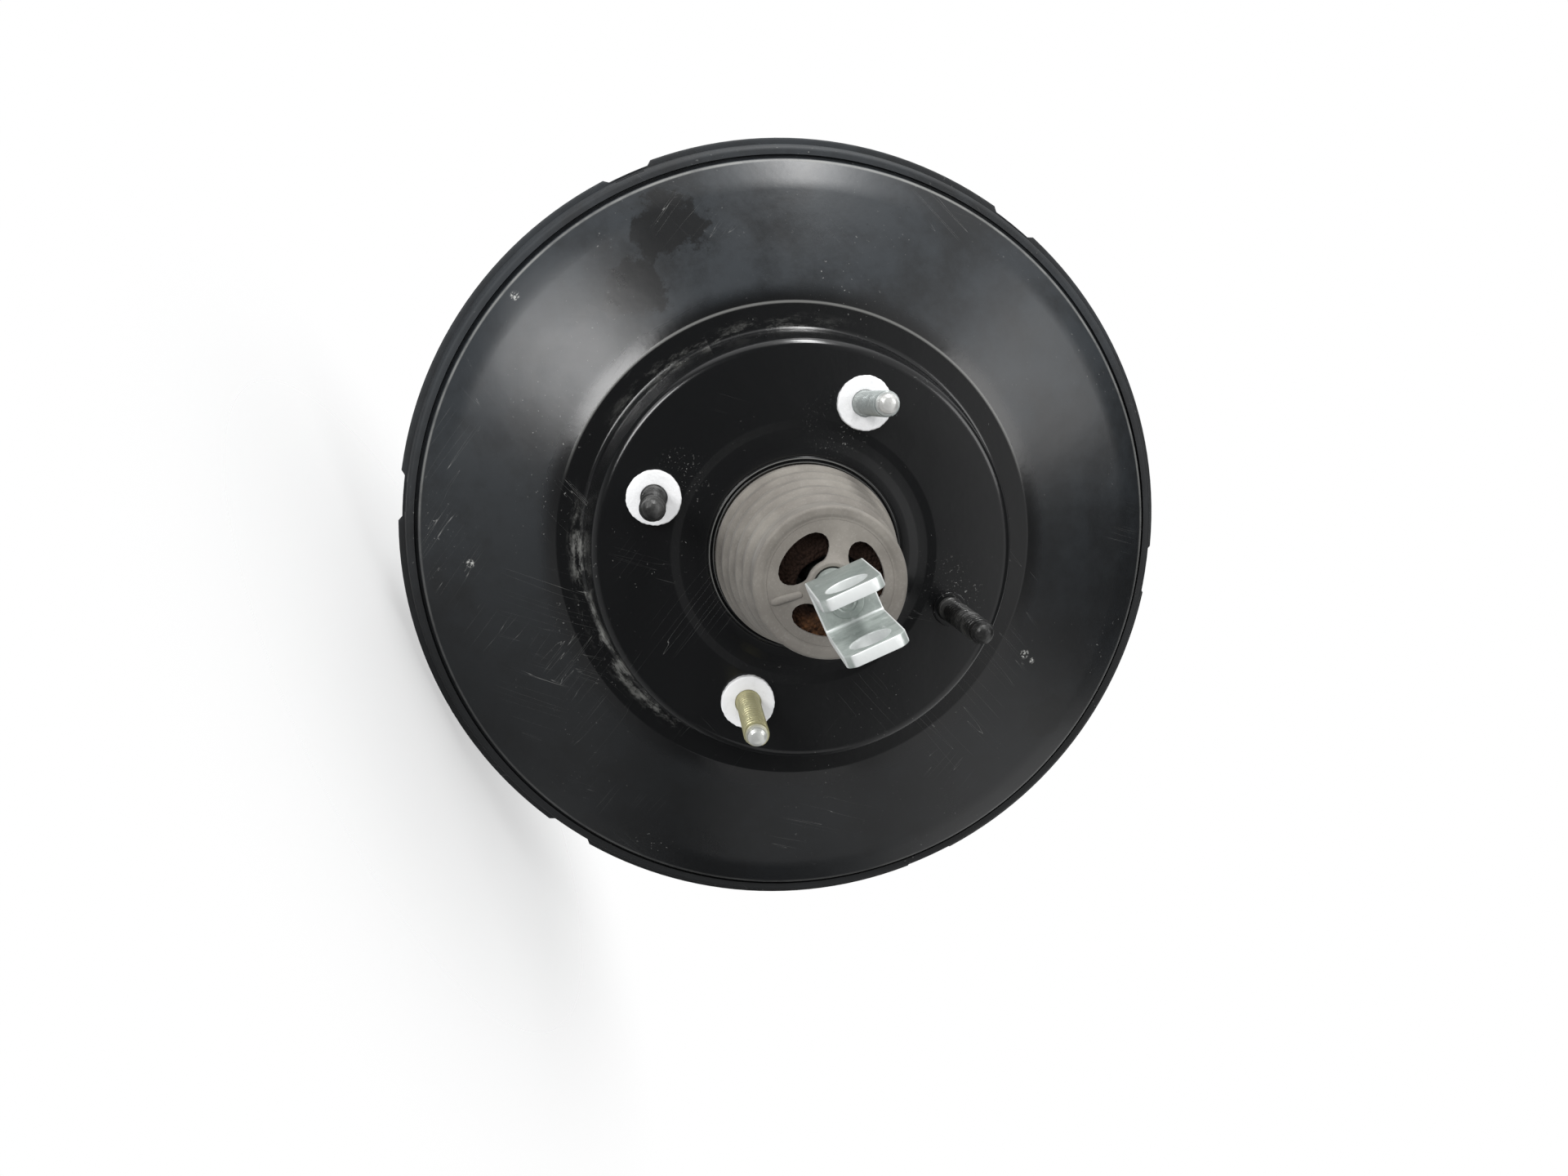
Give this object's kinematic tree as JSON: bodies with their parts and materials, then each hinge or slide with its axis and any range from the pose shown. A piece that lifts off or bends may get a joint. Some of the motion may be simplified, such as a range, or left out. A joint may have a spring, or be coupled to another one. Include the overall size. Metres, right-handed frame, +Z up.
{
  "type": "vacuum brake booster",
  "caption": "Round pressed-steel vacuum brake booster with a rubber boot, bulkhead studs, pedal clevis, check valve and sliding power piston.",
  "frame": {"origin": "centre of the bulkhead mounting face, on the booster axis", "axes": "+Y runs forward along the booster axis to the master cylinder, -Y back to the pedal, +Z up as mounted"},
  "size_m": [0.2888, 0.258, 0.2888],
  "materials": {
    "painted_shell": "semi-gloss black paint",
    "black_stud": "black phosphate",
    "zinc_stud": "bright zinc plate",
    "yellow_stud": "yellow chromate over zinc",
    "washer": "white soft plastic",
    "boot_rubber": "grey moulded rubber",
    "black_rubber": "moulded rubber",
    "bearing_plastic": "natural acetal",
    "plain_steel": "oiled steel",
    "zinc_steel": "zinc plate",
    "valve_plastic": "moulded phenolic",
    "check_valve_plastic": "moulded nylon",
    "filter_foam": "open-cell foam",
    "silencer_felt": "felt",
    "spring_steel": "spring wire"
  },
  "bodies": {
    "housing": {"rear_shell": "painted_shell", "front_shell": "painted_shell", "bulkhead_studs_black": "black_stud", "bulkhead_stud_zinc": "zinc_stud", "bulkhead_stud_yellow": "yellow_stud", "stud_washers": "washer", "neck_seal": "black_rubber", "neck_bearing": "bearing_plastic", "neck_retainer": "plain_steel", "boot": "boot_rubber", "diaphragm": "black_rubber", "front_reinforcement_plate": "plain_steel", "master_cylinder_studs": "zinc_stud", "master_cylinder_seal": "black_rubber", "check_valve_grommet": "black_rubber", "check_valve_body": "check_valve_plastic", "check_valve_spring": "spring_steel", "return_spring": "spring_steel"},
    "power_piston": {"valve_body": "valve_plastic", "diaphragm_plate": "zinc_steel", "plate_retainer": "plain_steel", "reaction_disc": "black_rubber", "output_rod": "plain_steel", "output_rod_tip": "plain_steel", "output_rod_retainer": "plain_steel", "plunger_key": "plain_steel", "poppet_sleeve": "black_rubber", "poppet_retainer": "plain_steel", "air_filter": "filter_foam", "filter_silencer": "silencer_felt"},
    "valve_plunger": {"valve_plunger": "plain_steel"},
    "poppet": {"poppet_disc": "black_rubber"},
    "input_rod": {"input_rod": "zinc_steel", "spring_cup": "plain_steel", "clevis": "zinc_steel", "rod_spring": "spring_steel", "poppet_spring": "spring_steel"},
    "check_valve": {"check_valve_disc": "black_rubber"}
  },
  "joints": [
    {"name": "piston_slide", "type": "slide", "parent": "housing", "child": "power_piston", "axis": [0, 1, 0], "range_m": [0, 0.038], "stiffness_N_per_m": 1500, "springref_m": -0.06, "deforming": ["return_spring", "boot", "diaphragm"]},
    {"name": "plunger_slide", "type": "slide", "parent": "power_piston", "child": "valve_plunger", "axis": [0, 1, 0], "range_m": [0, 0.0015], "stiffness_N_per_m": 3000, "springref_m": -0.008, "deforming": ["rod_spring", "poppet_spring"]},
    {"name": "poppet_slide", "type": "slide", "parent": "power_piston", "child": "poppet", "axis": [0, 1, 0], "range_m": [0, 0.00075], "deforming": ["poppet_sleeve"]},
    {"name": "rod_tilt", "type": "hinge", "parent": "valve_plunger", "child": "input_rod", "pos_m": [0, 0.019, 0], "axis": [1, 0, 0], "range_deg": [-3, 3], "stiffness_Nm_per_rad": 3, "deforming": ["air_filter", "filter_silencer"]},
    {"name": "check_valve_slide", "type": "slide", "parent": "housing", "child": "check_valve", "axis": [0, 1, 0], "range_m": [0, 0.0015], "stiffness_N_per_m": 60, "springref_m": -0.003, "deforming": ["check_valve_spring"]}
  ],
  "couplings": [
    {"joint": "poppet_slide", "follows": "plunger_slide", "ratio": 0.5}
  ]
}
